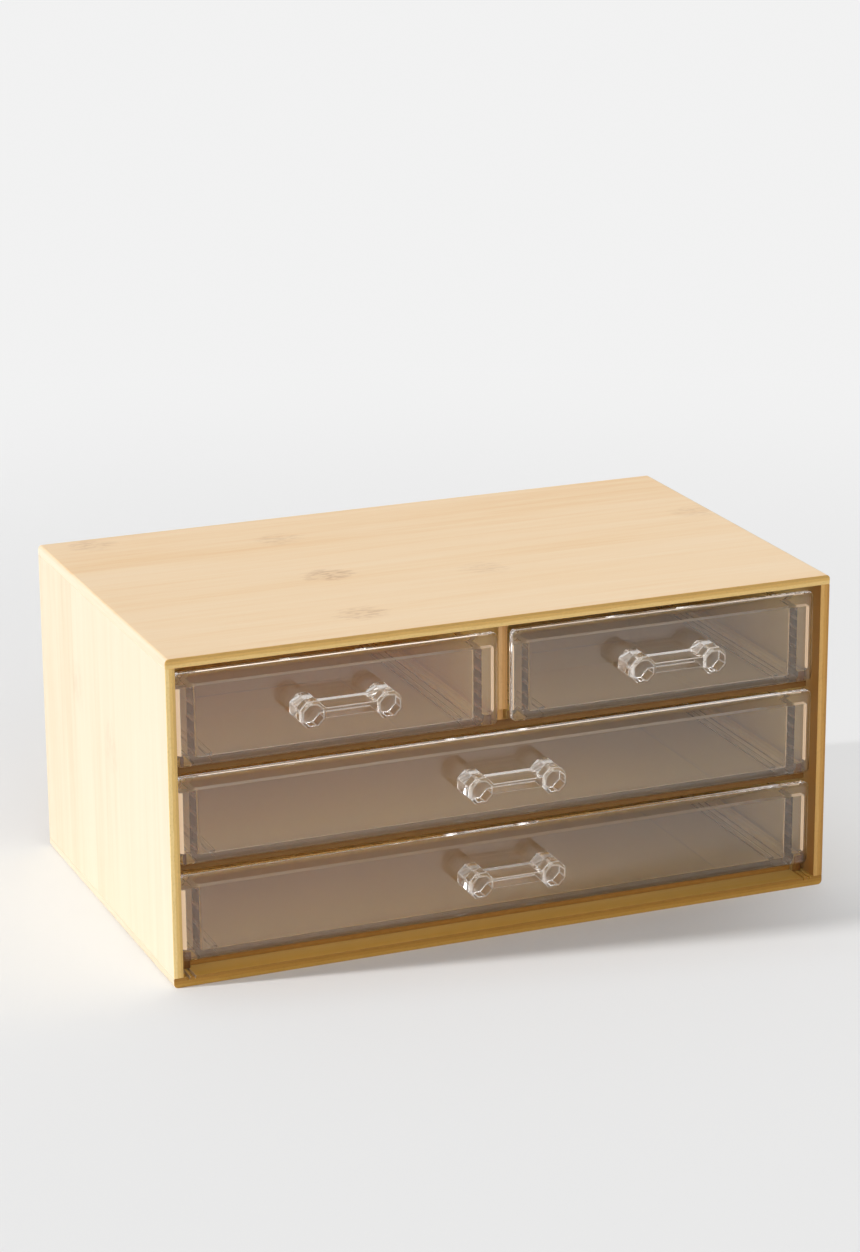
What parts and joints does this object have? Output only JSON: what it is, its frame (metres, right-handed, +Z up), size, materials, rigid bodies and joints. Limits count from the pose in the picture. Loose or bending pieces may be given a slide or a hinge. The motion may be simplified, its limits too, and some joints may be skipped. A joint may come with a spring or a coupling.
{
  "type": "desktop mini drawers",
  "caption": "Low bamboo desktop cabinet with clear drawers, small ones side by side over full-width ones, each with an octagonal double-knob pull.",
  "frame": {"origin": "centre of the casing's underside, on the surface it stands on", "axes": "+X across the front to the viewer's right, +Y from the front to the back, +Z up; the drawers open towards -Y"},
  "size_m": [0.25, 0.1585, 0.1185],
  "materials": {
    "bamboo": "satin lacquer over pale bamboo strips",
    "inner_bamboo": "bare sanded bamboo, darker in the casing",
    "clear_front": "polished clear acrylic",
    "clear_tray": "polished clear acrylic",
    "clear_handle": "polished clear acrylic"
  },
  "bodies": {
    "casing": {"top_panel": "bamboo", "bottom_panel": "bamboo", "left_side_panel": "bamboo", "right_side_panel": "bamboo", "back_panel": "bamboo", "lower_shelf": "inner_bamboo", "middle_shelf": "inner_bamboo", "upper_shelf": "inner_bamboo", "centre_divider": "inner_bamboo", "lower_left_guide": "inner_bamboo", "lower_right_guide": "inner_bamboo", "middle_left_guide": "inner_bamboo", "middle_right_guide": "inner_bamboo", "upper_left_outer_guide": "inner_bamboo", "upper_left_inner_guide": "inner_bamboo", "upper_right_inner_guide": "inner_bamboo", "upper_right_outer_guide": "inner_bamboo"},
    "upper_left_drawer": {"upper_left_front": "clear_front", "upper_left_tray": "clear_tray", "upper_left_handle": "clear_handle"},
    "upper_right_drawer": {"upper_right_front": "clear_front", "upper_right_tray": "clear_tray", "upper_right_handle": "clear_handle"},
    "middle_drawer": {"middle_front": "clear_front", "middle_tray": "clear_tray", "middle_handle": "clear_handle"},
    "lower_drawer": {"lower_front": "clear_front", "lower_tray": "clear_tray", "lower_handle": "clear_handle"}
  },
  "joints": [
    {"name": "upper_left_slide", "type": "slide", "parent": "casing", "child": "upper_left_drawer", "axis": [0, -1, 0], "range_m": [0, 0.11]},
    {"name": "upper_right_slide", "type": "slide", "parent": "casing", "child": "upper_right_drawer", "axis": [0, -1, 0], "range_m": [0, 0.11]},
    {"name": "middle_slide", "type": "slide", "parent": "casing", "child": "middle_drawer", "axis": [0, -1, 0], "range_m": [0, 0.11]},
    {"name": "lower_slide", "type": "slide", "parent": "casing", "child": "lower_drawer", "axis": [0, -1, 0], "range_m": [0, 0.11]}
  ]
}
